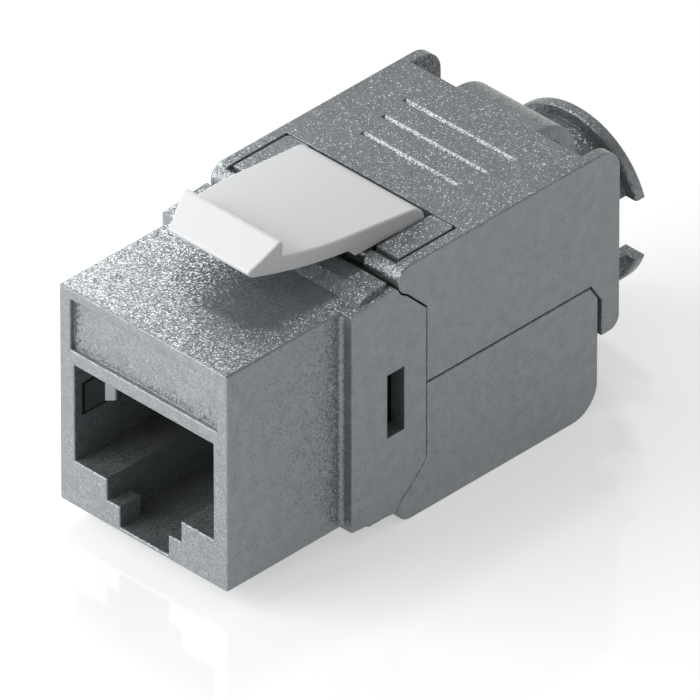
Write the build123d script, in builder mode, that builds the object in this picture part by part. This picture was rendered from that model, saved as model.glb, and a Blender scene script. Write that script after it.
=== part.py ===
"""Shielded keystone jack, tool-free kind: a die-cast housing with the plug port, a
plastic release latch and two hinged shells that close over the wiring end.

Millimetres. X runs across the jack, +Y from the port to the cable, +Z up. The origin
is under the middle of the closed jack, on the surface that the lower shell rests on.
Distances called front, back or length along the jack are measured behind the front
face, and heights inside the front section from its own bottom.
"""

import os
from math import sqrt

from build123d import *

# Front section, the part that fills the opening of a patch panel
front_width = 14.5
front_height = 16.0
front_length = 9.85
front_corner_radius = 0.2
front_edge_radius = 0.12
cove_radius = 0.3
cast_edge_radius = 0.12
mouth_edge_radius = 0.1

# Wider body behind the shoulder, closed by the two shells
body_width = 16.3
body_height = 18.9
housing_length = 6.5
shell_length = 14.4
side_wall_reach = 2.6
neck_reach = 3.55
collar_reach = 3.75
housing_wall = 1.2
shell_wall = 0.8
shell_plate = 1.0
seam = 0.1
split_gap = 0.08
chamber_wall = 2.45

# Raised pad behind the shoulder, above and below
pad_rise = 0.72
pad_start = 0.9
pad_ramp = 1.05
pad_end_gap = 1.4
pad_side_inset = 0.45
pad_slot_length = 0.3
side_rise = 0.35

# Plug port with its stepped slot for the lever of the plug
port_width = 12.0
port_height = 7.1
port_floor = 3.35
port_depth = 12.8
lever_slot_width = 6.4
lever_slot_floor = 1.8
lever_groove_width = 4.2
lever_groove_floor = 0.3
lever_groove_length = 1.85
lever_slot_depth = 11.0

# Label field above the port
label_width = 12.6
label_height = 3.7
label_margin = 0.8
label_depth = 0.35

# Fixed catch under the front section, and the gap that the panel fills
catch_width = 9.0
catch_height = 0.9
catch_length = 2.0
panel_slot = 1.87

# Hinges of the two shells, cast on the housing
pivot_setback = 1.35
pivot_radius = 1.05
knuckle_radius = 0.66
pin_radius = 0.35
pin_reach = 2.0
hinge_bar_radius = 0.37
running_gap = 0.06
nose_setback = 0.45
swing_gap = 0.1

# Window in each side plate
window_length = 1.52
window_height = 4.67
window_front = 3.09
window_floor = 5.53

# Bed and cheeks that carry the release latch above the hinge of the upper shell
bed_margin = 0.4
cheek_gap = 0.15
cheek_wall = 0.7
cheek_side_gap = 0.2
cheek_wall_gap = 0.25
cheek_corner_radius = 0.3
cutout_gap = 0.1
leg_pocket_length = 0.6
leg_pocket_depth = 1.0

# Release latch
latch_rear_width = 10.1
latch_leg_width = 9.8
latch_lip_width = 8.4
latch_tip_width = 6.75
latch_lip_rise = 3.24
latch_lip_thickness = 0.33
latch_notch_rise = 2.12
latch_rear_rise = 0.82
latch_tip_rise = 1.55
latch_nose_reach = 2.43
latch_nose_height = 0.3
latch_belly_rise = 0.45
latch_bead_radius = 0.65
latch_rear_radius = 1.2
latch_edge_radius = 0.15
latch_lip_radius = 0.15
latch_nose_radius = 0.25
latch_pivot_drop = 1.0
latch_pivot_back = 8.9
latch_leg_drop = 0.12
leg_play = 0.15
leg_side_gap = 0.1

# Cable clamp at the rear, one half ring on each shell
collar_radius = 5.37
collar_bore = 4.65
collar_front = 1.25
collar_opening = 4.4
flange_radius = 6.2
flange_thickness = 0.85
neck_width = 6.9
neck_radius = 3.4
flange_bevel = 0.12

# Finger grooves on the upper shell
groove_count = 3
groove_pitch = 2.2
groove_first = 3.25
groove_width = 0.4
groove_depth = 0.25
groove_length = 8.2
groove_step = 0.7

# Rear outline of the shells
lower_reach = 0.7
tab_gap = 0.35
tab_floor = 3.95
tab_radius = 0.9
slope_height = 1.45
slope_length = 0.95
upper_corner_radius = 1.7
lower_corner_radius = 2.2

# Contact carrier and its eight spring contacts
contact_count = 8
contact_pitch = 1.02
contact_width = 0.36
contact_thickness = 0.3
contact_rise = 0.85
contact_root_gap = 0.25
contact_straight = 1.2
contact_low = 8.7
contact_dip = 2.1
contact_start = 7.0
contact_tip_drop = 1.1
contact_bend = 0.6
comb_margin = 1.22
comb_front = 4.5
comb_height = 2.75
comb_gap = 0.1
comb_slot_gap = 0.13
comb_slot_height = 1.85
comb_slot_front = 0.7
carrier_plate = 1.35
carrier_gap = 0.1
seating_gap = 0.05

# Circuit board, wiring block with its blades, and wire manager
board_thickness = 1.2
board_side_gap = 0.45
board_end_gap = 0.4
board_slot_gap = 0.08
board_slot_play = 0.35
block_margin = 0.1
block_length = 9.4
fin_setback = 4.6
fin_width = 0.7
fin_height = 1.8
fin_side_gap = 0.05
fin_end_gap = 0.2
blade_columns = 4
blade_side_gap = 0.225
blade_thickness = 0.4
blade_setbacks = (5.8, 7.9)
blade_root = 1.6
blade_rise = 2.0
blade_slot = 0.35
blade_slot_depth = 2.2
blade_mouth = 1.0
blade_lead = 0.6
manager_side_gap = 0.75
manager_end_gap = 0.4
manager_reach = 0.8
manager_bore = 3.4
manager_wall = 1.6
manager_window = 2.2
manager_corner_radius = 0.8
channel_width = 1.5
channel_depth = 1.6
rib_width = 0.8
rib_gap = 0.25
rib_overhang = 0.95

# Grounding springs on the side walls of the port
spring_thickness = 0.2
spring_height = 2.1
spring_rise = 3.21
spring_start = 0.95
spring_length = 8.0
spring_recess = 0.45
spring_end_gap = 0.25
spring_side_gap = 0.15
spring_flat_length = 1.75
spring_bow = 0.6
spring_bow_length = 0.6
spring_return_length = 1.2
spring_rest_depth = 0.33
spring_bends = (0.2, 0.3, 0.3)

# Heights of the shared datum planes
mid_z = body_height / 2
front_floor = mid_z - front_height / 2

# Distances of the shared stations behind the front face
shoulder = front_length
shell_start = shoulder + housing_length
pivot_back = shell_start - pivot_setback
pad_end = pivot_back - pad_end_gap
plate_end = shell_start + shell_length
side_end = plate_end + side_wall_reach
neck_end = plate_end + neck_reach
length = neck_end + collar_reach


def back(distance):
    """Y of a point that lies this far behind the front face."""
    return distance - length / 2


def across(distance):
    """Plane across the jack this far behind the front face, facing forwards."""
    return Plane.XZ.offset(-back(distance))


def save(piece, name):
    """Label a finished piece and write its file."""
    piece.label = name
    export_step(piece, f"parts/{name}.step")


os.makedirs("parts", exist_ok=True)

# Levels and stations worked out from the sizes above
outer_x = body_width / 2
cavity_x = outer_x - housing_wall
shell_inner_x = outer_x - shell_wall
upper_axis = (back(pivot_back), body_height - pivot_radius)
lower_axis = (back(pivot_back), pivot_radius)
front_top = front_floor + front_height
pad_top = front_top + pad_rise
pad_bottom = front_floor - pad_rise
pad_x = outer_x - pad_side_inset
pad_rear = pad_end - pad_slot_length
seam_top = front_top + side_rise
seam_bottom = front_floor - side_rise
seam_corner = shell_start - pad_end
edge_inset = (upper_axis[0] + upper_axis[1] - back(pad_end) - seam_top) / 2 - seam / sqrt(2)
cavity_bottom = chamber_wall
cavity_top = body_height - chamber_wall
port_bottom = front_floor + port_floor
port_ceiling = port_bottom + port_height
groove_floor = front_floor + lever_groove_floor
carrier_front = port_depth + seating_gap
board_front = carrier_front + carrier_plate + seating_gap
block_front = board_front + board_thickness + seating_gap
manager_front = block_front + block_length + seating_gap
manager_length = plate_end + manager_reach - manager_front
bed_x = latch_leg_width / 2 + leg_side_gap
shell_front = back(shell_start) + seam
lower_end = plate_end + lower_reach
tab_front = lower_end + tab_gap
slope_start = tab_front - slope_length
lower_slope_height = (lower_end - slope_start + split_gap) * slope_height / slope_length
latch_back = shoulder + latch_pivot_back + latch_bead_radius
bed_rear = latch_back + bed_margin
bed_top = upper_axis[1]
cheek_plate = pivot_radius - knuckle_radius - running_gap
cheek_front = pivot_back
cheek_wall_front = pivot_back + pivot_radius + cheek_wall_gap
cheek_outer_x = shell_inner_x - cheek_side_gap
cheek_wall_x = latch_rear_width / 2 + cheek_gap
leg_front = pad_rear + leg_play
leg_bottom = body_height - latch_leg_drop
latch_axis = (back(shoulder + latch_pivot_back), body_height - latch_pivot_drop)
knuckle_x = bed_x + swing_gap
pin_end_x = bed_x + pin_reach
contact_axis = (back(board_front), port_ceiling + contact_rise)
comb_width = contact_count * contact_pitch + 2 * comb_margin
comb_top = port_ceiling + comb_height
board_width = 2 * (cavity_x - board_side_gap)
board_height = cavity_top - cavity_bottom - 2 * board_end_gap
blade_pitch = (board_width - fin_width - 2 * fin_side_gap) / blade_columns
blade_width = blade_pitch - fin_width - 2 * blade_side_gap
block_width = blade_columns * blade_pitch + 2 * block_margin
block_height = board_height - 2 * fin_height - 2 * fin_end_gap
manager_width = 2 * (shell_inner_x - manager_side_gap)
manager_height = board_height - 2 * manager_end_gap
blade_tip = block_height / 2 + blade_rise
rib_height = mid_z - shell_plate - blade_tip - rib_gap
rib_front = block_front + blade_setbacks[0] - rib_overhang
rib_length = blade_setbacks[-1] - blade_setbacks[0] + 2 * rib_overhang
spring_floor = port_bottom + spring_rise
spring_flat_x = port_width / 2 + spring_thickness / 2
spring_bow_x = spring_flat_x - spring_bow
spring_rest_x = port_width / 2 + spring_rest_depth
spring_bow_start = spring_start + spring_flat_length
spring_bow_back = spring_bow_start + spring_bow_length
contact_places = [(index - (contact_count - 1) / 2) * contact_pitch for index in range(contact_count)]
blade_places = [(index - (blade_columns - 1) / 2) * blade_pitch for index in range(blade_columns)]


def between(x0, y0, x1, y1):
    """Rectangle of the current sketch between two opposite corners."""
    with Locations(((x0 + x1) / 2, (y0 + y1) / 2)):
        Rectangle(abs(x1 - x0), abs(y1 - y0))


# Housing with the plug port, the shoulder, the latch bed and the hinge pins
with BuildPart() as front_housing:
    with BuildSketch(across(0)):
        between(-front_width / 2, front_floor, front_width / 2, front_top)
    extrude(amount=-front_length)
    fillet(front_housing.edges().filter_by(Axis.Y), front_corner_radius)
    fillet(front_housing.faces().sort_by(Axis.Y)[0].edges(), front_edge_radius)
    with BuildSketch(Plane.YZ):
        Polygon(
            (back(shoulder), front_floor),
            (back(pad_end), seam_bottom),
            (back(shell_start), seam_bottom + seam_corner),
            (back(shell_start), seam_top - seam_corner),
            (back(pad_end), seam_top),
            (back(shoulder), front_top),
            align=None,
        )
    extrude(amount=outer_x, both=True)
    # Raised pads with a ramp in front, set in from the sides of the body
    with BuildSketch(Plane.YZ):
        Polygon(
            (back(shoulder + pad_start), front_floor),
            (back(shoulder + pad_start + pad_ramp), pad_bottom),
            (back(pad_end), pad_bottom),
            (back(pad_end), pad_top),
            (back(shoulder + pad_start + pad_ramp), pad_top),
            (back(shoulder + pad_start), front_top),
            align=None,
        )
    extrude(amount=pad_x, both=True)
    # Coves where the sides of the front section meet the shoulder
    with BuildSketch(Plane.XY.offset(front_floor + front_corner_radius)):
        for side in (-1, 1):
            cove_x = side * (front_width / 2 + cove_radius)
            between(side * front_width / 2, back(shoulder), cove_x, back(shoulder) - cove_radius)
            with Locations((cove_x, back(shoulder) - cove_radius)):
                Circle(cove_radius, mode=Mode.SUBTRACT)
    extrude(amount=front_height - 2 * front_corner_radius)
    # Room for the rounded noses of the shells where they turn
    with BuildSketch(Plane.YZ):
        with Locations(upper_axis, lower_axis):
            Circle(pivot_radius + seam)
    extrude(amount=outer_x, both=True, mode=Mode.SUBTRACT)
    # Chamber behind the port for the contact module
    with BuildSketch(across(port_depth)):
        between(-cavity_x, cavity_bottom, cavity_x, cavity_top)
    extrude(amount=-(shell_start - port_depth), mode=Mode.SUBTRACT)
    # Port, with the stepped slot for the lever of the plug, narrower at its mouth
    with BuildSketch(across(0)):
        between(-port_width / 2, port_bottom, port_width / 2, port_ceiling)
    extrude(amount=-port_depth, mode=Mode.SUBTRACT)
    with BuildSketch(across(0)):
        between(-lever_slot_width / 2, front_floor + lever_slot_floor, lever_slot_width / 2, port_bottom)
        between(-lever_groove_width / 2, groove_floor, lever_groove_width / 2, port_bottom)
    extrude(amount=-lever_slot_depth, mode=Mode.SUBTRACT)
    with BuildSketch(across(lever_groove_length)):
        between(-lever_slot_width / 2, groove_floor, lever_slot_width / 2, port_bottom)
    extrude(amount=-(lever_slot_depth - lever_groove_length), mode=Mode.SUBTRACT)
    # Shallow field above the port for a label
    with BuildSketch(across(0)):
        with Locations((0, front_top - label_margin - label_height / 2)):
            Rectangle(label_width, label_height)
    extrude(amount=-label_depth, mode=Mode.SUBTRACT)
    fillet(front_housing.faces().sort_by(Axis.Y)[0].inner_wires().edges(), mouth_edge_radius)
    # Pocket above the port for the comb of the contact carrier
    with BuildSketch(across(comb_front - comb_gap)):
        between(-comb_width / 2 - comb_gap, port_ceiling, comb_width / 2 + comb_gap, comb_top + comb_gap)
    extrude(amount=-(port_depth - comb_front + comb_gap), mode=Mode.SUBTRACT)
    # Recesses for the grounding springs
    with BuildSketch(across(spring_start - spring_end_gap)):
        for side in (-1, 1):
            between(
                side * port_width / 2, spring_floor - spring_side_gap,
                side * (port_width / 2 + spring_recess), spring_floor + spring_height + spring_side_gap,
            )
    extrude(amount=-(spring_length + 2 * spring_end_gap), mode=Mode.SUBTRACT)
    # Windows in the side plates
    with BuildSketch(Plane.YZ):
        between(
            back(shoulder + window_front), front_floor + window_floor,
            back(shoulder + window_front + window_length), front_floor + window_floor + window_height,
        )
    extrude(amount=outer_x, both=True, mode=Mode.SUBTRACT)
    # Fixed catch that hooks the lower edge of the panel
    with BuildSketch(Plane.YZ):
        Polygon(
            (back(shoulder - panel_slot - catch_length), front_floor),
            (back(shoulder - panel_slot - catch_length / 3), front_floor - catch_height),
            (back(shoulder - panel_slot), front_floor - catch_height),
            (back(shoulder - panel_slot), front_floor),
            align=None,
        )
    extrude(amount=catch_width / 2, both=True)
    # Latch bed above and hinge lug below, each with a round bar on the hinge axis
    with BuildSketch(Plane.YZ):
        between(back(pad_end), cavity_top, back(bed_rear), bed_top)
        between(back(pad_end), lower_axis[1], back(pivot_back + hinge_bar_radius), cavity_bottom)
        with Locations(upper_axis, lower_axis):
            Circle(hinge_bar_radius)
    extrude(amount=bed_x, both=True)
    with BuildSketch(Plane.YZ):
        with Locations(upper_axis, lower_axis):
            Circle(pin_radius)
    extrude(amount=pin_end_x, both=True)
    # Cheeks on both sides of the latch, with thin plates that reach over the hinge
    with BuildSketch(across(cheek_wall_front)):
        between(-cheek_wall_x - cheek_wall, cavity_top, cheek_wall_x + cheek_wall, bed_top)
        for side in (-1, 1):
            between(side * cheek_wall_x, cavity_top, side * (cheek_wall_x + cheek_wall), body_height)
    extrude(amount=-(bed_rear - cheek_wall_front))
    with BuildSketch(across(cheek_front)):
        for side in (-1, 1):
            between(side * cheek_wall_x, body_height - cheek_plate, side * cheek_outer_x, body_height)
    extrude(amount=-(bed_rear - cheek_front))
    fillet(front_housing.edges().filter_by(Axis.Z).group_by(Axis.Y)[-1], cheek_corner_radius)
    # Slot behind the upper pad, its deeper part under the leg of the latch, and the bead's seat
    with BuildSketch(Plane.YZ):
        between(back(pad_rear), bed_top - leg_pocket_depth, back(pad_end), pad_top)
    extrude(amount=pad_x, both=True, mode=Mode.SUBTRACT)
    with BuildSketch(Plane.YZ):
        between(back(pad_end), bed_top - leg_pocket_depth, back(pad_end + leg_pocket_length), bed_top)
        with Locations(latch_axis):
            Circle(latch_bead_radius + running_gap)
    extrude(amount=cheek_wall_x, both=True, mode=Mode.SUBTRACT)

save(front_housing.part, "front_housing")


# Release latch: a plate with a raised lip in front and a round bead at the rear
with BuildPart() as release_latch:
    lip_back = shoulder - panel_slot
    plate_top = body_height + latch_rear_rise
    tip_front = lip_back - latch_nose_reach
    tip_top = body_height + latch_tip_rise
    with BuildSketch(Plane.YZ) as latch_side:
        with BuildLine():
            Polyline(
                (back(lip_back - latch_lip_thickness), body_height + latch_lip_rise),
                (back(lip_back), body_height + latch_lip_rise),
                (back(lip_back), body_height + latch_notch_rise),
                (back(latch_back), plate_top),
                (back(latch_back), latch_axis[1]),
                (back(latch_back - 2 * latch_bead_radius), latch_axis[1]),
                (back(latch_back - 2 * latch_bead_radius), leg_bottom),
                (back(leg_front), leg_bottom),
                (back(leg_front), body_height + latch_belly_rise),
                (back(tip_front + latch_nose_height), tip_top - latch_nose_height),
                (back(tip_front), tip_top),
                close=True,
            )
        make_face()
        fillet(latch_side.vertices().group_by(Axis.X)[-1].sort_by(Axis.Y)[-1], latch_rear_radius)
        fillet(latch_side.vertices().group_by(Axis.Y)[-1], latch_lip_radius)
        fillet(latch_side.vertices().group_by(Axis.X)[0], latch_nose_radius)
        with Locations(latch_axis):
            Circle(latch_bead_radius)
    extrude(amount=latch_rear_width / 2, both=True)
    # The plate narrows towards the lip, seen from above
    with BuildSketch(Plane.XY):
        with BuildLine():
            side_start = (latch_rear_width / 2, back(latch_back))
            side_leg = (latch_leg_width / 2, back(leg_front))
            side_lip = (latch_lip_width / 2, back(lip_back))
            side_tip = (latch_tip_width / 2, back(tip_front))
            Line((0, back(latch_back)), side_start)
            Line(side_start, side_leg)
            ThreePointArc(side_leg, side_lip, side_tip)
            Line(side_tip, (0, back(tip_front)))
            mirror(about=Plane.YZ)
        make_face()
    extrude(amount=2 * body_height, mode=Mode.INTERSECT)
    tops = release_latch.faces().filter_by(lambda face: face.normal_at().Z > 0.9)
    fillet(tops.edges().filter_by(lambda edge: abs(edge.center().X) > latch_tip_width / 2), latch_edge_radius)

save(release_latch.part, "release_latch")


def clamp_half(upward, neck_start):
    """Neck, half collar and flange that grip the cable, above or below the middle."""
    plate_level = body_height - shell_plate / 2 if upward else shell_plate / 2
    collar_rise = sqrt(collar_bore**2 - (neck_width / 2) ** 2)
    neck_foot = mid_z + collar_rise if upward else mid_z - collar_rise
    edge = mid_z + collar_opening / 2 if upward else mid_z - collar_opening / 2
    far_side = -body_height if upward else 2 * body_height
    with BuildPart() as half:
        with BuildSketch(Plane.YZ):
            with BuildLine():
                FilletPolyline(
                    (back(neck_start), plate_level),
                    (back(neck_end - shell_plate / 2), plate_level),
                    (back(neck_end - shell_plate / 2), neck_foot),
                    radius=neck_radius - shell_plate / 2,
                )
            trace(line_width=shell_plate)
        extrude(amount=neck_width / 2, both=True)
        with BuildSketch(across(neck_end - collar_front)):
            with Locations((0, mid_z)):
                Circle(collar_radius)
        extrude(amount=-(collar_front + collar_reach))
        with BuildSketch(across(length)):
            with Locations((0, mid_z)):
                Circle(flange_radius)
        extrude(amount=flange_thickness)
        chamfer(half.edges().filter_by(GeomType.CIRCLE).sort_by(SortBy.RADIUS)[-2:], flange_bevel)
        with BuildSketch(across(neck_end - collar_front)):
            with Locations((0, mid_z)):
                Circle(collar_bore)
            between(-body_width, edge, body_width, far_side)
        extrude(amount=-(collar_front + collar_reach), mode=Mode.SUBTRACT)
    return half.part


def hinge_knuckles(axis):
    """Knuckles with a rounded nose in front, next to the inner faces of the side walls."""
    with BuildPart() as knuckles:
        with BuildSketch(Plane.YZ.offset(knuckle_x), Plane.YZ.offset(-shell_inner_x)):
            with Locations(axis):
                Circle(pivot_radius)
            with Locations((axis[0] - nose_setback + pivot_radius, axis[1])):
                Rectangle(2 * pivot_radius, 2 * pivot_radius, mode=Mode.SUBTRACT)
            with Locations(axis):
                Circle(knuckle_radius)
        extrude(amount=shell_inner_x - knuckle_x)
    return knuckles.part


# Upper shell: two side walls joined by a top plate
with BuildPart() as upper_shell:
    with BuildSketch(Plane.YZ.offset(shell_inner_x), Plane.YZ.offset(-outer_x)) as upper_side:
        with BuildLine():
            Polyline(
                (upper_axis[0], body_height),
                upper_axis,
                (upper_axis[0] - edge_inset, upper_axis[1] - edge_inset),
                (shell_front, upper_axis[1] - 2 * edge_inset - (shell_front - upper_axis[0])),
                (shell_front, mid_z + split_gap / 2),
                (back(slope_start), mid_z + split_gap / 2),
                (back(tab_front), mid_z + split_gap / 2 - slope_height),
                (back(tab_front), front_floor + tab_floor),
                (back(side_end), front_floor + tab_floor),
                (back(side_end), body_height),
                close=True,
            )
        make_face()
        fillet(upper_side.vertices().group_by(Axis.X)[-1].sort_by(Axis.Y)[0], tab_radius)
        fillet(upper_side.vertices().group_by(Axis.X)[-1].sort_by(Axis.Y)[-1], upper_corner_radius)
        with Locations(upper_axis):
            Circle(pivot_radius)
    extrude(amount=shell_wall)
    with BuildSketch(across(bed_rear + cutout_gap)):
        between(-outer_x, body_height - shell_plate, outer_x, body_height)
    extrude(amount=-(plate_end - bed_rear - cutout_gap))
    fillet(upper_shell.faces().filter_by(Axis.X).group_by(Axis.X)[0].edges(), cast_edge_radius)
    fillet(upper_shell.faces().filter_by(Axis.X).group_by(Axis.X)[-1].edges(), cast_edge_radius)
    add(hinge_knuckles(upper_axis))
    with BuildSketch(Plane.YZ):
        with Locations(upper_axis):
            Circle(pin_radius + running_gap)
    extrude(amount=pin_end_x + swing_gap, both=True, mode=Mode.SUBTRACT)
    # Ribs that press the wires into their blades
    with BuildSketch(Plane.XY.offset(body_height - shell_plate)):
        for place in blade_places:
            with Locations((place, back(rib_front + rib_length / 2))):
                Rectangle(rib_width, rib_length)
    extrude(amount=-rib_height)
    # Three finger grooves, each longer than the one in front of it
    with BuildSketch(Plane.XY.offset(body_height)):
        for index in range(groove_count):
            with Locations((0, back(bed_rear + cutout_gap + groove_first + index * groove_pitch))):
                Rectangle(groove_length + index * groove_step, groove_width)
    extrude(amount=-groove_depth, mode=Mode.SUBTRACT)

save(upper_shell.part, "upper_shell")


# Lower shell: the tray that the jack stands on
with BuildPart() as lower_shell:
    with BuildSketch(Plane.YZ.offset(shell_inner_x), Plane.YZ.offset(-outer_x)) as lower_side:
        with BuildLine():
            Polyline(
                (lower_axis[0], 0),
                lower_axis,
                (lower_axis[0] - edge_inset, lower_axis[1] + edge_inset),
                (shell_front, lower_axis[1] + 2 * edge_inset + (shell_front - lower_axis[0])),
                (shell_front, mid_z - split_gap / 2),
                (back(slope_start - split_gap), mid_z - split_gap / 2),
                (back(lower_end), mid_z - split_gap / 2 - lower_slope_height),
                (back(lower_end), 0),
                close=True,
            )
        make_face()
        fillet(lower_side.vertices().group_by(Axis.X)[-1].sort_by(Axis.Y)[0], lower_corner_radius)
        with Locations(lower_axis):
            Circle(pivot_radius)
    extrude(amount=shell_wall)
    with BuildSketch(Plane.XY):
        between(-outer_x, lower_axis[0], outer_x, back(lower_end - lower_corner_radius))
        with Locations((0, lower_axis[0])):
            Rectangle(2 * knuckle_x, 2 * (shell_front - lower_axis[0]), mode=Mode.SUBTRACT)
    extrude(amount=shell_plate)
    fillet(lower_shell.faces().filter_by(Axis.X).group_by(Axis.X)[0].edges(), cast_edge_radius)
    fillet(lower_shell.faces().filter_by(Axis.X).group_by(Axis.X)[-1].edges(), cast_edge_radius)
    add(hinge_knuckles(lower_axis))
    with BuildSketch(Plane.YZ):
        with Locations(lower_axis):
            Circle(pin_radius + running_gap)
    extrude(amount=pin_end_x + swing_gap, both=True, mode=Mode.SUBTRACT)
    with BuildSketch(Plane.XY.offset(shell_plate)):
        for place in blade_places:
            with Locations((place, back(rib_front + rib_length / 2))):
                Rectangle(rib_width, rib_length)
    extrude(amount=rib_height)

save(lower_shell.part, "lower_shell")


# Cable clamp: two half collars, each on a neck that carries on from the plate of its shell
save(clamp_half(upward=True, neck_start=plate_end), "upper_clamp")
save(clamp_half(upward=False, neck_start=lower_end - lower_corner_radius), "lower_clamp")


# Contact carrier: the back wall of the port, with a slot for each contact
with BuildPart() as contact_carrier:
    with BuildSketch(across(carrier_front)):
        between(
            -cavity_x + carrier_gap, cavity_bottom + carrier_gap,
            cavity_x - carrier_gap, cavity_top - carrier_gap,
        )
        for place in contact_places:
            with Locations((place, port_ceiling + comb_slot_height / 2)):
                Rectangle(contact_width + 2 * comb_slot_gap, comb_slot_height, mode=Mode.SUBTRACT)
    extrude(amount=-carrier_plate)

save(contact_carrier.part, "contact_carrier")


# Contact comb: guides the spring contacts above the port, one slot for each
with BuildPart() as contact_comb:
    with BuildSketch(across(comb_front)):
        between(-comb_width / 2, port_ceiling + seating_gap, comb_width / 2, comb_top)
    extrude(amount=-(carrier_front - comb_front))
    with BuildSketch(across(comb_front + comb_slot_front)):
        for place in contact_places:
            with Locations((place, port_ceiling + comb_slot_height / 2)):
                Rectangle(contact_width + 2 * comb_slot_gap, comb_slot_height)
    extrude(amount=-(carrier_front - comb_front - comb_slot_front), mode=Mode.SUBTRACT)

save(contact_comb.part, "contact_comb")


# Spring contacts: bent wires that reach down into the port from the circuit board
for number, place in enumerate(contact_places, start=1):
    with BuildPart() as contact:
        with BuildSketch(Plane.YZ.offset(place)):
            with BuildLine():
                FilletPolyline(
                    (back(board_front + board_thickness - contact_root_gap), contact_axis[1]),
                    (back(board_front - contact_straight), contact_axis[1]),
                    (back(contact_low), port_ceiling - contact_dip),
                    (back(contact_start), port_ceiling - contact_tip_drop),
                    radius=contact_bend,
                )
            trace(line_width=contact_thickness)
        extrude(amount=contact_width / 2, both=True)
    save(contact.part, f"contact_{number}")


# Circuit board between the contacts and the wiring block, with a slot for each root
with BuildPart() as circuit_board:
    with BuildSketch(across(board_front)):
        between(-board_width / 2, mid_z - board_height / 2, board_width / 2, mid_z + board_height / 2)
        for place in contact_places:
            with Locations((place, contact_axis[1])):
                Rectangle(
                    contact_width + 2 * board_slot_gap, contact_thickness + 2 * board_slot_play,
                    mode=Mode.SUBTRACT,
                )
    extrude(amount=-board_thickness)

save(circuit_board.part, "circuit_board")


# Wiring block: a core with fins that part the wires, above and below
with BuildPart() as wiring_block:
    with BuildSketch(across(block_front)):
        between(-block_width / 2, mid_z - block_height / 2, block_width / 2, mid_z + block_height / 2)
    extrude(amount=-block_length)
    with BuildSketch(across(block_front + fin_setback)):
        for index in range(blade_columns + 1):
            with Locations(((index - blade_columns / 2) * blade_pitch, mid_z)):
                Rectangle(fin_width, block_height + 2 * fin_height)
    extrude(amount=-(block_length - fin_setback))
    # Pockets that hold the blades
    for row, setback in enumerate(blade_setbacks):
        with BuildSketch(Plane.XY.offset(mid_z - block_height / 2)):
            for place in blade_places[row::2]:
                with Locations((place, back(block_front + setback))):
                    Rectangle(blade_width + 2 * seating_gap, blade_thickness + 2 * seating_gap)
        extrude(amount=blade_root, mode=Mode.SUBTRACT)
        with BuildSketch(Plane.XY.offset(mid_z + block_height / 2)):
            for place in blade_places[row::2]:
                with Locations((place, back(block_front + setback))):
                    Rectangle(blade_width + 2 * seating_gap, blade_thickness + 2 * seating_gap)
        extrude(amount=-blade_root, mode=Mode.SUBTRACT)

save(wiring_block.part, "wiring_block")


# Slotted blades that cut through the insulation of the eight wires
for level, upward in enumerate((1, -1)):
    for column, place in enumerate(blade_places):
        with BuildPart() as blade:
            with BuildSketch(across(block_front + blade_setbacks[column % 2] - blade_thickness / 2)):
                root_z = mid_z + upward * (block_height / 2 - blade_root + seating_gap)
                tip_z = mid_z + upward * blade_tip
                between(place - blade_width / 2, root_z, place + blade_width / 2, tip_z)
                Polygon(
                    (place - blade_mouth / 2, tip_z),
                    (place + blade_mouth / 2, tip_z),
                    (place + blade_slot / 2, tip_z - upward * blade_lead),
                    (place + blade_slot / 2, tip_z - upward * blade_slot_depth),
                    (place - blade_slot / 2, tip_z - upward * blade_slot_depth),
                    (place - blade_slot / 2, tip_z - upward * blade_lead),
                    align=None,
                    mode=Mode.SUBTRACT,
                )
            extrude(amount=-blade_thickness)
        save(blade.part, f"wiring_blade_{level * blade_columns + column + 1}")


# Wire manager: leads the cable in from the rear and fans its wires out to the blades
with BuildPart() as wire_manager:
    with BuildSketch(across(manager_front)):
        between(-manager_width / 2, mid_z - manager_height / 2, manager_width / 2, mid_z + manager_height / 2)
    extrude(amount=-manager_length)
    fillet(wire_manager.edges().filter_by(Axis.Y), manager_corner_radius)
    with BuildSketch(across(manager_front + manager_wall)):
        with Locations((0, mid_z)):
            Circle(manager_bore)
    extrude(amount=-(manager_length - manager_wall), mode=Mode.SUBTRACT)
    # Window in which the wires turn up and down out of the cable
    with BuildSketch(across(manager_front + manager_wall)):
        with Locations((0, mid_z)):
            Rectangle(manager_width - 2 * manager_wall, manager_height)
    extrude(amount=-manager_window, mode=Mode.SUBTRACT)
    # Channels that lead each wire to its blade
    with BuildSketch(across(manager_front)):
        for place in blade_places:
            for level in (-1, 1):
                with Locations((place, mid_z + level * (manager_height - channel_depth) / 2)):
                    Rectangle(channel_width, channel_depth)
    extrude(amount=-manager_wall, mode=Mode.SUBTRACT)

save(wire_manager.part, "wire_manager")


# Grounding springs: bowed strips in the side walls that touch the shield of the plug
for side, hand in ((-1, "left"), (1, "right")):
    with BuildPart() as grounding_spring:
        with BuildSketch(Plane.XY.offset(spring_floor)):
            with BuildLine():
                FilletPolyline(
                    (side * spring_flat_x, back(spring_start)),
                    (side * spring_flat_x, back(spring_bow_start)),
                    (side * spring_bow_x, back(spring_bow_back)),
                    (side * spring_rest_x, back(spring_bow_back + spring_return_length)),
                    (side * spring_rest_x, back(spring_start + spring_length)),
                    radius=spring_bends,
                )
            trace(line_width=spring_thickness)
        extrude(amount=spring_height)
    save(grounding_spring.part, f"grounding_spring_{hand}")
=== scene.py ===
# %% [markdown]
# # A keystone jack in die-cast zinc
#
# This lesson dresses a CAD model of a shielded keystone jack, the metal block that clips
# into a network patch panel. The solids already carry every size, so Blender brings what a
# solid lacks: the grain of sand-blasted zinc, moulded plastic, gold, and the light of a
# small product studio. Lengths are in metres, +Y runs from the plug port to the cable, and
# the jack rests on the floor at height zero.

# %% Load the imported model
from math import cos, radians, sin

import bpy
from mathutils import Matrix, Vector


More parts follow.
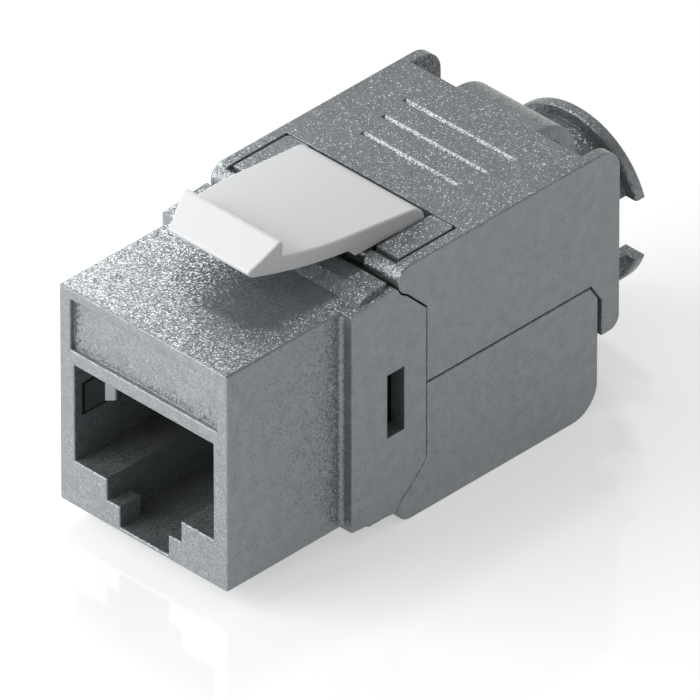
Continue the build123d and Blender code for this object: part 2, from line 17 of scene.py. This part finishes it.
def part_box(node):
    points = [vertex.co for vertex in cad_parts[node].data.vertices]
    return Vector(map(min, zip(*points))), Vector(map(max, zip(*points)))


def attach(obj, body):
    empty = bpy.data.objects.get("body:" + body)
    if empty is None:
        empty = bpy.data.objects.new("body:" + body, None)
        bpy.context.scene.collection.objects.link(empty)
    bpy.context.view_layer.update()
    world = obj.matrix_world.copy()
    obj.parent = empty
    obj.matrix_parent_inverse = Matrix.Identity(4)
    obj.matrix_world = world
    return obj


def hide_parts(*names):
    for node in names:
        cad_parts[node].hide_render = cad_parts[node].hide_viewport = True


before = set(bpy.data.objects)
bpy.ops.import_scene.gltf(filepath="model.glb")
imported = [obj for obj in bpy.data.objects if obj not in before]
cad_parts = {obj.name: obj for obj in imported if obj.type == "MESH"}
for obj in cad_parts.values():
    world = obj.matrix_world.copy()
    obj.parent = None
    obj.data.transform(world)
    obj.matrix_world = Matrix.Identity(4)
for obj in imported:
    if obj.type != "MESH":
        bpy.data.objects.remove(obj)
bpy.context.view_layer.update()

MM = 0.001
bpy.ops.object.select_all(action="DESELECT")

# %% [markdown]
# ## The camera
#
# The photograph was taken from far away with a long lens, so the edges of the jack stay
# almost parallel. We could guess a lens and slide the camera until it looks right. Here
# the camera was fitted to the corners of the front section, whose size is known, so its
# bearing, height, distance and scale are written down as plain numbers. The distance
# matters least, so it was held at 1.8 metres and the other numbers were fitted to it.

# %% Place the camera
BEARING = radians(44.68)
ELEVATION = radians(34.61)
DISTANCE = 1800 * MM
PIXELS_PER_METRE = 16328
IMAGE_PIXELS = 700
# Blender gives the sensor and the lens in millimetres
SENSOR = 36
CLIP_NEAR, CLIP_FAR = 0.1, 20
# The lower front corner of the front section, and the pixel where it is seen
ANCHOR = Vector((0, -19.025, 1.45)) * MM
ANCHOR_PIXEL = (143.98, 545.31)

right = Vector((cos(BEARING), sin(BEARING), 0))
forward = Vector((
    -sin(BEARING) * cos(ELEVATION),
    cos(BEARING) * cos(ELEVATION),
    -sin(ELEVATION),
))
down = forward.cross(right)
across = (IMAGE_PIXELS / 2 - ANCHOR_PIXEL[0]) / PIXELS_PER_METRE
below = (IMAGE_PIXELS / 2 - ANCHOR_PIXEL[1]) / PIXELS_PER_METRE
eye = ANCHOR + right * across + down * below - forward * DISTANCE

bpy.ops.object.camera_add(location=eye)
camera = bpy.context.object
camera.rotation_mode = "QUATERNION"
camera.rotation_quaternion = Matrix((right, -down, -forward)).transposed().to_quaternion()
camera.data.sensor_width = SENSOR
camera.data.lens = PIXELS_PER_METRE * DISTANCE / IMAGE_PIXELS * SENSOR
camera.data.clip_start, camera.data.clip_end = CLIP_NEAR, CLIP_FAR
bpy.context.scene.camera = camera
bpy.context.scene.view_settings.view_transform = "Standard"
print("lens", round(camera.data.lens), "mm")

# %% [markdown]
# ## Helpers for materials
#
# Every finish below is a small graph of shader nodes. Four helpers keep them readable: one
# turns a colour as it is written on screen into the linear light that a shader expects,
# one adds a node with its settings and links, one starts an empty material, and one gives
# it to pieces by name. The first two serve the floor and the world too.

# %% Colour and node helpers
def linear(code):
    """Opaque linear colour of an sRGB hex value such as "#8A8C8E", by the sRGB curve."""
    parts = [int(code[i:i + 2], 16) / 255 for i in (1, 3, 5)]
    light = tuple(c / 12.92 if c <= 0.04045 else ((c + 0.055) / 1.055) ** 2.4 for c in parts)
    return light + (1.0,)


def add_node(tree, kind, settings=None, values=None, links=None):
    """A new node, with settings by attribute, values by socket and links into its sockets."""
    node = tree.nodes.new(kind)
    for name, value in (settings or {}).items():
        setattr(node, name, value)
    for socket, value in (values or {}).items():
        node.inputs[socket].default_value = value
    for socket, source in (links or {}).items():
        tree.links.new(source, node.inputs[socket])
    return node


def new_material(name):
    """An empty node material and its tree."""
    material = bpy.data.materials.new(name)
    material.use_nodes = True
    material.node_tree.nodes.clear()
    return material, material.node_tree


def paint(material, *names):
    """Give a finish to CAD nodes and modelled pieces by name."""
    for name in names:
        mesh = bpy.data.objects[name].data
        mesh.materials.clear()
        mesh.materials.append(material)
    print(material.name, "on", len(names), "pieces")


print("half grey on screen is", round(linear("#808080")[0], 3), "of white in linear light")

# %% [markdown]
# ## The finger grooves
#
# Three grooves across the upper shell give a finger some grip. The solid has them as
# plain slots, but a die-casting tool leaves a slanted flank so that it can pull out, and
# the slanted flank catches the light as a thin bright line. We could cut new grooves with
# a Boolean. It is simpler to take a copy of the shell, slide the near edge of each groove
# floor inwards a little, and lift the far edge to the top, so that the floor itself
# becomes the slanted flank.

# %% Groove helpers
GROOVE_CENTRES = [4.125 * MM, 6.325 * MM, 8.525 * MM]
GROOVE_WIDTH = 0.4 * MM
GROOVE_DEPTH = 0.25 * MM
NEAR_SHIFT = 0.15 * MM
# An edge that bends more than this stays sharp
SHARP = radians(30)
TOUCH = 0.01 * MM
DESELECT_ALL = (bpy.ops.mesh.select_all, {"action": "DESELECT"})
MERGE_DOUBLES = [
    (bpy.ops.mesh.select_all, {"action": "SELECT"}),
    (bpy.ops.mesh.remove_doubles, {"threshold": TOUCH / 10}),
]


def in_edit_mode(*steps):
    """Run operators on the mesh of the active object, each step with its arguments."""
    bpy.ops.object.mode_set(mode="EDIT")
    for operator, arguments in steps:
        operator(**arguments)
    bpy.ops.object.mode_set(mode="OBJECT")


def pick_floor_edge(mesh, side, height):
    """Select the groove floors' corners on one side, -1 near the port or 1 away from it."""
    lines = [centre + side * GROOVE_WIDTH / 2 for centre in GROOVE_CENTRES]
    for vertex in mesh.vertices:
        level = abs(vertex.co.z - height) < TOUCH
        vertex.select = level and any(abs(vertex.co.y - line) < TOUCH for line in lines)
    return sum(vertex.select for vertex in mesh.vertices)


print(len(GROOVE_CENTRES), "grooves", round(GROOVE_WIDTH / MM, 2), "mm wide")

# %% Slant the grooves on a copy of the shell
shell_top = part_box("upper_shell")[1][2]
groove_floor = shell_top - GROOVE_DEPTH
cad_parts["upper_shell"].select_set(True)
bpy.context.view_layer.objects.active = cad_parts["upper_shell"]
bpy.ops.object.duplicate()
grooved_shell = bpy.context.object
grooved_shell.name = "grooved_upper_shell"
in_edit_mode(*MERGE_DOUBLES, DESELECT_ALL)
# Corners are what is picked and moved, not edges or faces
bpy.context.tool_settings.mesh_select_mode = (True, False, False)
print(pick_floor_edge(grooved_shell.data, -1, groove_floor), "near corners")
in_edit_mode((bpy.ops.transform.translate, {"value": (0, NEAR_SHIFT, 0)}), DESELECT_ALL)
print(pick_floor_edge(grooved_shell.data, 1, groove_floor), "far corners")
in_edit_mode((bpy.ops.transform.translate, {"value": (0, 0, GROOVE_DEPTH)}), *MERGE_DOUBLES)
bpy.ops.mesh.customdata_custom_splitnormals_clear()
bpy.ops.object.shade_smooth_by_angle(angle=SHARP)
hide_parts("upper_shell")
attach(grooved_shell, "upper_shell")
grooved_shell.select_set(False)
print(len(grooved_shell.data.polygons), "faces on the grooved shell")

# %% [markdown]
# ## Sand-blasted zinc
#
# The housing, the two shells and the clamp are die-cast from zinc alloy and blasted with
# fine grit. Each pit that the grit leaves is a small mirror, tilted its own way. Where a
# face mirrors a lamp next to the dark of the room it sparkles, and where it mirrors only
# the pale floor it looks smooth. We could paint the flecks as colour, but they would stay
# when the light moves. A noise bump gives dents with soft slopes, more like leather. So a
# Voronoi pattern cuts the surface into cells, and the colour of each cell, which is a
# random one, becomes the tilt of its normal. Below it a Bevel node rounds the edges as
# the blasting wears them, which gives each edge a thin light line.

# %% Zinc material
# Real pits are about 0.03 mm wide, too fine to show, so they are drawn coarser
GRIT = 0.085 * MM
PIT_TILT = 0.48
WORN_EDGE = 0.12 * MM
EDGE_SAMPLES = 6
# A cell's random colour lies between 0 and 1, and less this it can tilt either way
MIDDLE = (0.5, 0.5, 0.5)
# The blast is uneven from place to place, which leaves the grey a little cloudy
BLAST = 0.9 * MM
CLOUDS = [(0.3, "#868B8D"), (0.7, "#909597")]
ZINC_METALLIC = 0.6
ZINC_ROUGHNESS = 0.33


def pitted_normal(tree, place):
    """The surface normal with worn edges and a tilt for each grit pit."""
    pits = add_node(
        tree, "ShaderNodeTexVoronoi", values={"Scale": 1 / GRIT}, links={"Vector": place},
    )
    centred = add_node(
        tree, "ShaderNodeVectorMath", {"operation": "SUBTRACT"},
        values={1: MIDDLE}, links={0: pits.outputs["Color"]},
    )
    tilt = add_node(
        tree, "ShaderNodeVectorMath", {"operation": "SCALE"},
        values={"Scale": PIT_TILT}, links={0: centred.outputs["Vector"]},
    )
    face = add_node(
        tree, "ShaderNodeBevel", {"samples": EDGE_SAMPLES}, values={"Radius": WORN_EDGE},
    )
    tilted = add_node(
        tree, "ShaderNodeVectorMath", {"operation": "ADD"},
        links={0: face.outputs["Normal"], 1: tilt.outputs["Vector"]},
    )
    unit = add_node(
        tree, "ShaderNodeVectorMath", {"operation": "NORMALIZE"},
        links={0: tilted.outputs["Vector"]},
    )
    return unit.outputs["Vector"]


def sand_blasted_zinc():
    """Grey half-bright metal: partly metallic, because the pits scatter much of the light."""
    material, tree = new_material("sand_blasted_zinc")
    place = add_node(tree, "ShaderNodeTexCoord").outputs["Object"]
    blast = add_node(
        tree, "ShaderNodeTexNoise", values={"Scale": 1 / BLAST, "Detail": 2.0},
        links={"Vector": place},
    )
    tone = add_node(tree, "ShaderNodeValToRGB", links={"Fac": blast.outputs["Fac"]})
    for stop, (position, shade) in zip(tone.color_ramp.elements, CLOUDS):
        stop.position = position
        stop.color = linear(shade)
    shader = add_node(
        tree, "ShaderNodeBsdfPrincipled",
        values={"Metallic": ZINC_METALLIC, "Roughness": ZINC_ROUGHNESS},
        links={"Base Color": tone.outputs["Color"], "Normal": pitted_normal(tree, place)},
    )
    add_node(tree, "ShaderNodeOutputMaterial", links={"Surface": shader.outputs["BSDF"]})
    return material


paint(
    sand_blasted_zinc(),
    "front_housing", "grooved_upper_shell", "lower_shell", "upper_clamp", "lower_clamp",
)

# %% [markdown]
# ## Moulded plastics
#
# The release latch is moulded in white ABS. Inside sit a black contact carrier with its
# comb, a grey wiring block and a pale wire manager, and a green circuit board, whose glass
# weave shows through the resin as a soft grain. A moulded part takes the fine spark grain
# of its mould, which shows as a soft, broken highlight. A flat colour would look like
# paper, so each plastic gets a low bump on a noise as wide as that grain.

# %% Plastic materials
GRAIN_DEPTH = 0.01 * MM
GRAIN_STRENGTH = 0.15
PLASTIC_IOR = 1.5


def grained_plastic(name, shade, roughness, grain):
    """A plain plastic colour with the soft highlight of its mould's grain."""
    material, tree = new_material(name)
    place = add_node(tree, "ShaderNodeTexCoord").outputs["Object"]
    noise = add_node(
        tree, "ShaderNodeTexNoise", values={"Scale": 1 / grain, "Detail": 3.0},
        links={"Vector": place},
    )
    bump = add_node(
        tree, "ShaderNodeBump", values={"Strength": GRAIN_STRENGTH, "Distance": GRAIN_DEPTH},
        links={"Height": noise.outputs["Fac"]},
    )
    shader = add_node(
        tree, "ShaderNodeBsdfPrincipled",
        values={"Base Color": linear(shade), "Roughness": roughness, "IOR": PLASTIC_IOR},
        links={"Normal": bump.outputs["Normal"]},
    )
    add_node(tree, "ShaderNodeOutputMaterial", links={"Surface": shader.outputs["BSDF"]})
    return material


PLASTICS = [
    ("moulded_white_abs", "#D8D9DB", 0.42, 0.15 * MM, ["release_latch"]),
    ("moulded_black_lcp", "#2A2B2D", 0.5, 0.12 * MM, ["contact_carrier", "contact_comb"]),
    ("glass_epoxy_board", "#1F5A3C", 0.35, 0.3 * MM, ["circuit_board"]),
    ("moulded_grey_pbt", "#5B5D60", 0.5, 0.12 * MM, ["wiring_block"]),
    ("moulded_pale_abs", "#C8CACC", 0.45, 0.15 * MM, ["wire_manager"]),
]
for name, shade, roughness, grain, pieces in PLASTICS:
    paint(grained_plastic(name, shade, roughness, grain), *pieces)

# %% [markdown]
# ## Contacts, blades and springs
#
# The eight contacts are gold plated and the wiring blades tinned, because bare copper
# alloy would tarnish, and the two grounding springs are bright spring steel. Thin strip
# that was stamped and plated is smooth but never perfect, so one noise moves its
# roughness up and down a little.

# %% Strip metal materials
STRIP_GRAIN = 0.2 * MM
ROUGHNESS_SPREAD = 0.08


def strip_metal(name, shade, roughness):
    """Smooth metal strip whose highlight is a little uneven."""
    material, tree = new_material(name)
    place = add_node(tree, "ShaderNodeTexCoord").outputs["Object"]
    noise = add_node(
        tree, "ShaderNodeTexNoise", values={"Scale": 1 / STRIP_GRAIN, "Detail": 3.0},
        links={"Vector": place},
    )
    spread = add_node(
        tree, "ShaderNodeMapRange",
        values={"To Min": roughness - ROUGHNESS_SPREAD, "To Max": roughness + ROUGHNESS_SPREAD},
        links={"Value": noise.outputs["Fac"]},
    )
    shader = add_node(
        tree, "ShaderNodeBsdfPrincipled",
        values={"Base Color": linear(shade), "Metallic": 1.0},
        links={"Roughness": spread.outputs["Result"]},
    )
    add_node(tree, "ShaderNodeOutputMaterial", links={"Surface": shader.outputs["BSDF"]})
    return material


WIRES = range(1, 9)
CONTACTS = [f"contact_{wire}" for wire in WIRES]
BLADES = [f"wiring_blade_{wire}" for wire in WIRES]
SPRINGS = ["grounding_spring_left", "grounding_spring_right"]
paint(strip_metal("gold_on_bronze", "#E2B75A", roughness=0.25), *CONTACTS)
paint(strip_metal("tinned_bronze", "#C4C3BE", roughness=0.32), *BLADES)
paint(strip_metal("stamped_spring_steel", "#A8ABAD", roughness=0.35), *SPRINGS)

# %% [markdown]
# ## The floor
#
# The photograph has a glossy white floor that keeps a soft shadow and a faint reflection.
# Lighting it until it burns out would spoil the jack. So the floor is lit like the rest,
# and an emission that only camera, mirror and glass rays see adds the brightness that it
# lacks. The shadow stays, because it is missing light in the lit part. A gloss stronger
# than that of plain paint, by its IOR, gives the mirror image of the front.

# %% White floor
FLOOR_SIZE = 4
# The floor lies a hair below height zero, clear of the jack's underside
FLOOR_GAP = 0.005 * MM
FLOOR_SHADE = "#E0E0E1"
FLOOR_ROUGHNESS = 0.06
FLOOR_IOR = 1.8
FLOOR_LIFT = 0.44


def seen_rays(tree):
    """One for rays that show the floor or the sky in the picture, in metal or in glass."""
    path = add_node(tree, "ShaderNodeLightPath")
    seen = path.outputs["Is Camera Ray"]
    for ray in ("Is Glossy Ray", "Is Transmission Ray"):
        more = add_node(
            tree, "ShaderNodeMath", {"operation": "MAXIMUM"},
            links={0: seen, 1: path.outputs[ray]},
        )
        seen = more.outputs["Value"]
    return path, seen


def glossy_white_floor():
    """White gloss with a glow that lights nothing."""
    material, tree = new_material("glossy_white_floor")
    seen = seen_rays(tree)[1]
    gloss = add_node(tree, "ShaderNodeBsdfPrincipled", values={
        "Base Color": linear(FLOOR_SHADE), "Roughness": FLOOR_ROUGHNESS, "IOR": FLOOR_IOR,
    })
    lift = add_node(
        tree, "ShaderNodeMath", {"operation": "MULTIPLY"},
        values={1: FLOOR_LIFT}, links={0: seen},
    )
    glow = add_node(tree, "ShaderNodeEmission", links={"Strength": lift.outputs["Value"]})
    both = add_node(
        tree, "ShaderNodeAddShader",
        links={0: gloss.outputs["BSDF"], 1: glow.outputs["Emission"]},
    )
    add_node(tree, "ShaderNodeOutputMaterial", links={"Surface": both.outputs["Shader"]})
    return material


bpy.ops.mesh.primitive_plane_add(size=FLOOR_SIZE, location=(0, 0, -FLOOR_GAP))
floor = bpy.context.object
floor.name = "floor"
floor.data.materials.append(glossy_white_floor())
print("floor", floor.dimensions[:2])

# %% [markdown]
# ## The sky of the studio
#
# The world does three jobs. The camera sees it as pure white. Matt surfaces get a weak,
# even fill from it. Metal mirrors a pale horizon that grows darker overhead, like a tent
# of white paper under a dim ceiling. The dim part is what the flecks stand out against.

# %% World
PURE_WHITE = 1.0
FILL = 0.55
HORIZON = 1.0
OVERHEAD = 0.25
# The tent's sides end and its ceiling begins at these heights on a sphere of radius one
SIDES_END, CEILING_STARTS = 0.15, 0.8


def studio_sky():
    """A white backdrop to the camera, a fill for matt surfaces and a tent for mirrors."""
    world = bpy.data.worlds.new("studio_sky")
    bpy.context.scene.world = world
    world.use_nodes = True
    tree = world.node_tree
    tree.nodes.clear()
    path, seen = seen_rays(tree)
    direction = add_node(
        tree, "ShaderNodeSeparateXYZ",
        links={"Vector": add_node(tree, "ShaderNodeTexCoord").outputs["Generated"]},
    )
    tent = add_node(
        tree, "ShaderNodeMapRange",
        values={
            "From Min": SIDES_END, "From Max": CEILING_STARTS,
            "To Min": HORIZON, "To Max": OVERHEAD,
        },
        links={"Value": direction.outputs["Z"]},
    )
    lit = add_node(
        tree, "ShaderNodeMix", values={"A": FILL},
        links={"Factor": seen, "B": tent.outputs["Result"]},
    )
    white = add_node(
        tree, "ShaderNodeMix", values={"B": PURE_WHITE},
        links={"Factor": path.outputs["Is Camera Ray"], "A": lit.outputs["Result"]},
    )
    sky = add_node(tree, "ShaderNodeBackground", links={"Strength": white.outputs["Result"]})
    add_node(tree, "ShaderNodeOutputWorld", links={"Surface": sky.outputs["Background"]})
    print(world.name, "from", HORIZON, "to", OVERHEAD)


studio_sky()

# %% [markdown]
# ## The lamps
#
# Three lamps light the jack. A softbox in front on the left lights the port and the lip
# of the latch, leaves the long right side to the floor, and drops a soft shadow behind.
# Two compact lamps stand behind on the left, where the top faces mirror them to the
# camera: one high up for the flecks on every top, and a very small one close by, which
# makes the front left corner the brightest. A compact lamp is needed for both, because in
# the mirror of a large one all the pits would light up together and the sparkle would be
# lost.

# %% Softboxes
def softbox(name, power, size, place, aim=(0, 0, 9 * MM)):
    """A square lamp of so many watts, turned to its aim and hidden from the camera."""
    bpy.ops.object.light_add(type="AREA", location=place)
    light = bpy.context.object
    light.name = name
    light.data.energy = power
    light.data.size = size
    light.rotation_mode = "QUATERNION"
    light.rotation_quaternion = (Vector(aim) - Vector(place)).to_track_quat("-Z", "Y")
    light.visible_camera = False
    print(name, power, "W")


FRONT_LEFT_CORNER = (-10 * MM, -18 * MM, 17.5 * MM)
softbox("key_softbox", power=0.61, size=0.20, place=(-0.13, -0.20, 0.12))
softbox("spark_lamp", power=0.07, size=0.03, place=(-0.075, 0.075, 0.237))
softbox(
    "fleck_lamp", power=0.0037, size=0.012, place=(-0.0262, -0.0016, 0.0334),
    aim=FRONT_LEFT_CORNER,
)
